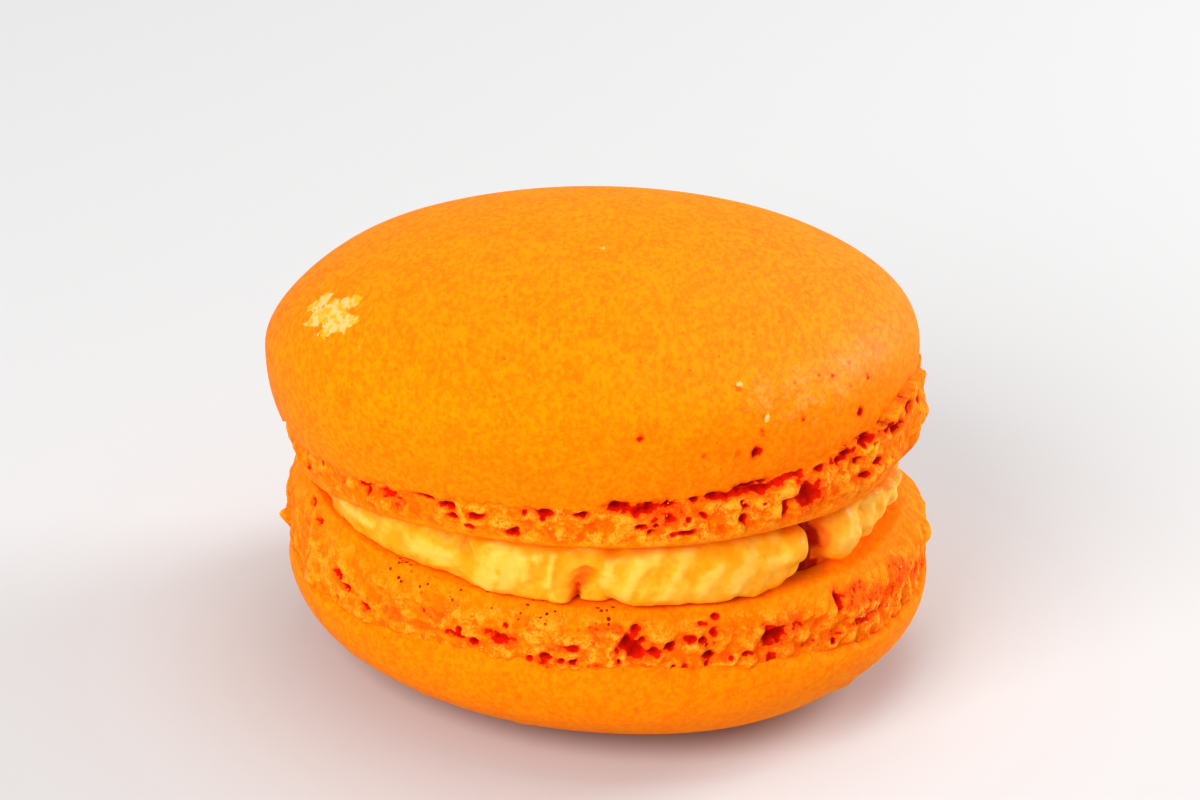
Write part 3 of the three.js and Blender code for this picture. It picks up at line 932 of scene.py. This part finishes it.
def hollow_shaded(tone, hollow_shade, ragged):
    """The tone with painted shade in the hollows: warm rims and red, ragged-edged insides, darker in
    their depth.
    """
    rim = (hollow_shade + ragged * 0.6).ramp(0.15, 0.45) * 0.7
    inside = (hollow_shade + ragged * 0.8).ramp(0.45, 0.54)
    depth = (hollow_shade + ragged * 0.4).ramp(0.55, 0.85)
    return inside.blend(rim.blend(tone, HOLLOW_RIM_SHADE), depth.blend(HOLLOW_RED_SHADE, HOLLOW_DARK_SHADE))


def flaked(tone, place, skin_place):
    """The tone with pale bare meringue where the skin has flaked off."""
    bare = (place.mark("scar") + (skin_place.grain(0.4, 4) - 0.5) * 1.6).ramp(0.38, 0.54)
    pale = skin_place.grain(0.45, 4).ramp(0.42, 0.58)
    return bare.blend(tone, pale.blend(FLAKE, FLAKE_PALE))


def meringue_material():
    material, shader, place = new_material(
        "meringue_baked", Subsurface_Weight=0.25, Subsurface_Radius=(0.8, 0.25, 0.08),
        Subsurface_Scale=MM, IOR=1.4, Specular_IOR_Level=0.03, Specular_Tint=colour(1.0, 0.45, 0.02),
        Coat_Roughness=0.45, Coat_IOR=1.45)
    skin_place = place.stretched(*SKIN_STRETCH)
    foot = place.mark("foot")
    sugar = place.mark("sugar")
    cloud = place.grain(3.0, 3).ramp(0.35, 0.65)
    fleck = place.grain(0.42, 3).ramp(0.3, 0.7)
    fine = place.grain(0.2, 3)
    ragged = place.grain(0.55, 4) - 0.5

    # single dots on the skin, and pinholes in clusters on the foot: tiny pores whose dark colour is
    # painted shade
    dot = (1 - (place.specks(1.3) + (cloud - 0.5) * 0.06).ramp(0.03, 0.07)) * (1 - foot)
    cluster = place.mark("pores").ramp(0.2, 0.5) + foot * place.grain(1.4, 2).ramp(0.46, 0.54) * 0.35
    pinhole = (1 - (place.specks(0.6) + ragged * 0.5).ramp(0.19, 0.27)) * cluster
    glint = (1 - place.specks(0.7).ramp(0.08, 0.14)) * sugar.ramp(0.2, 0.5)

    tone = foot.blend(skin_tone(place, skin_place, cloud, fleck), crumb_tone(place, fleck, fine, sugar))
    tone = (dot * 0.5).blend(tone, DOT_SHADE)
    tone = (pinhole * 0.9).blend(tone, PINHOLE_SHADE)
    tone = hollow_shaded(tone, place.mark("hollow_shade"), ragged)
    tone = flaked(tone, place, skin_place)
    feed(shader, "Base Color", glint.blend(tone, GLINT))
    feed(shader, "Roughness", fleck * 0.12 + 0.5 + foot * 0.15)
    feed(shader, "Coat Weight", place.mark("sheen") * (fleck * 0.2 + 0.1) + glint * 0.8)
    height = place.grain(0.45, 4) * 0.6 + fine * 0.4 - dot * 0.3 - pinhole * 0.5
    feed_bump(shader, height, 0.7, 0.1)
    return material


# ---------------------------------------------------------------- butter cream

CREAM_LOW = colour(1.0, 0.32, 0.002)
CREAM_HIGH = colour(1.0, 0.46, 0.03)
# painted highlight on the crests
CREAM_CREST_HIGHLIGHT = colour(1.0, 0.51, 0.07)
# painted shade in the cream's dents and deepest recesses
CREAM_DENT_SHADE = colour(1.0, 0.17, 0.003)
CREAM_DEEP_SHADE = colour(0.42, 0.012, 0.001)


def cream_material():
    material, shader, place = new_material(
        "cream_whipped", Subsurface_Weight=0.35, Subsurface_Radius=(1.2, 0.6, 0.2),
        Subsurface_Scale=MM, IOR=1.45, Specular_IOR_Level=0.08, Specular_Tint=colour(1.0, 0.8, 0.3),
        Coat_Weight=0.1, Coat_Roughness=0.3)
    crest_highlight = place.mark("crest_highlight")
    cloud = place.grain(1.6, 3).ramp(0.35, 0.65)
    fleck = place.grain(0.5, 4)
    tone = (crest_highlight * 0.5 + cloud * 0.3 + fleck * 0.6).ramp(0.3, 1.0).blend(CREAM_LOW, CREAM_HIGH)
    tone = (crest_highlight * 0.8 + fleck).ramp(0.8, 1.5).blend(tone, CREAM_CREST_HIGHLIGHT)
    dent_shade = place.mark("hollow_shade") + (fleck - 0.5) * 0.3
    tone = dent_shade.ramp(0.1, 0.5).blend(tone, CREAM_DENT_SHADE)
    feed(shader, "Base Color", dent_shade.ramp(0.5, 0.9).blend(tone, CREAM_DEEP_SHADE))
    feed(shader, "Roughness", cloud * 0.1 + 0.36)
    feed_bump(shader, place.grain(0.9, 4), 0.6, 0.12)
    return material


# ---------------------------------------------------------------- pieces

def turned(degrees, axis):
    return Matrix.Rotation(math.radians(degrees), 4, axis)


# the group stands on the lower shell's crown, and its origin is the middle of that shell's inner face
GROUP_ORIGIN = Vector((AXIS_X, AXIS_Y, Lower.foot_drop + Lower.crown))
group = Matrix.Translation(GROUP_ORIGIN)
upper_in_group = (Matrix.Translation((UPPER_SHIFT, 0, UPPER_HEIGHT))
                  @ turned(-LEAN_BACK, "X") @ turned(-LEAN_LEFT, "Y"))
lower_in_group = Matrix.Translation((0, 0, -Lower.foot_drop)) @ turned(180, "X")

top_shell = make_shell(Upper, group @ upper_in_group)
bottom_shell = make_shell(Lower, group @ lower_in_group)
filling = make_cream(upper_in_group, group)

meringue = meringue_material()
cream = cream_material()
for piece, node, slot, material in (
        (top_shell, "top_shell", "meringue", meringue),
        (bottom_shell, "bottom_shell", "meringue", meringue),
        (filling, "filling", "cream", cream)):
    piece.data.materials.append(material)
    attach(piece, "root")
    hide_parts(node)


# ---------------------------------------------------------------- floor, light, camera

# the floor and the lights are in metres
FLOOR_HALF = 0.6
FLOOR_GREY = colour(0.6, 0.6, 0.6)
SKY_BRIGHTNESS = 0.52
LIT_POINT = Vector((0.0, 0.0, 0.017))       # the middle of the macaron
# lights: (name, azimuth, elevation, distance, size, brightness of a white face turned to it)
LIGHTS = [("key", -120, 32, 0.6, 0.4, 0.95), ("overhead", 60, 80, 0.6, 0.4, 0.3),
          ("sheen", 30, 25, 0.5, 0.25, 0.7)]


def make_floor():
    mesh = bmesh.new()
    bmesh.ops.create_grid(mesh, x_segments=1, y_segments=1, size=FLOOR_HALF)
    data = bpy.data.meshes.new("floor")
    mesh.to_mesh(data)
    mesh.free()
    floor = bpy.data.objects.new("floor", data)
    bpy.context.scene.collection.objects.link(floor)
    data.materials.append(new_material("floor_matt", Base_Color=FLOOR_GREY, Roughness=0.9)[0])


def soft_light(name, azimuth, elevation, distance, size, brightness):
    lamp = bpy.data.lights.new(name, "AREA")
    lamp.shape = "DISK"
    lamp.size = size
    lamp.energy = brightness * (math.pi * distance) ** 2
    thing = bpy.data.objects.new(name, lamp)
    level = cosine(elevation)
    towards = Vector((cosine(azimuth) * level, sine(azimuth) * level, sine(elevation)))
    thing.location = LIT_POINT + towards * distance
    thing.rotation_euler = towards.to_track_quat("Z", "Y").to_euler()
    bpy.context.scene.collection.objects.link(thing)


def light_scene():
    scene = bpy.context.scene
    scene.view_settings.view_transform = "Standard"
    world = bpy.data.worlds.new("studio")
    world.use_nodes = True
    background = world.node_tree.nodes["Background"]
    background.inputs["Color"].default_value = colour(1.0, 1.0, 1.0)
    background.inputs["Strength"].default_value = SKY_BRIGHTNESS
    scene.world = world
    for light in LIGHTS:
        soft_light(*light)


CAMERA_DISTANCE = 420.0     # from the group's origin
CAMERA_RISE = 25.9          # degrees above the table
CAMERA_ROLL = 3.4
FOCAL_PIXELS = 5426.0       # focal length in pixels of the image
IMAGE_WIDTH = 1200.0
IMAGE_MIDDLE = (600.0, 400.0)
ORIGIN_PIXEL = (612.0, 472.15)      # where the group's origin lies in the image
SENSOR_WIDTH = 36.0


def place_camera():
    back = Vector((0, -cosine(CAMERA_RISE), sine(CAMERA_RISE)))
    right = Vector((1, 0, 0))
    up = Vector((0, sine(CAMERA_RISE), cosine(CAMERA_RISE)))
    camera_right = right * cosine(CAMERA_ROLL) + up * sine(CAMERA_ROLL)
    camera_up = up * cosine(CAMERA_ROLL) - right * sine(CAMERA_ROLL)
    lens = bpy.data.cameras.new("camera")
    lens.lens = FOCAL_PIXELS / IMAGE_WIDTH * SENSOR_WIDTH
    lens.sensor_width = SENSOR_WIDTH
    lens.clip_start = 0.01
    lens.clip_end = 10
    lens.shift_x = (IMAGE_MIDDLE[0] - ORIGIN_PIXEL[0]) / IMAGE_WIDTH
    lens.shift_y = (ORIGIN_PIXEL[1] - IMAGE_MIDDLE[1]) / IMAGE_WIDTH
    camera = bpy.data.objects.new("camera", lens)
    bpy.context.scene.collection.objects.link(camera)
    turn = Matrix((camera_right, camera_up, back)).transposed()
    eye = GROUP_ORIGIN + back * CAMERA_DISTANCE
    camera.matrix_world = Matrix.Translation(eye * MM) @ turn.to_4x4()
    bpy.context.scene.camera = camera


make_floor()
light_scene()
place_camera()
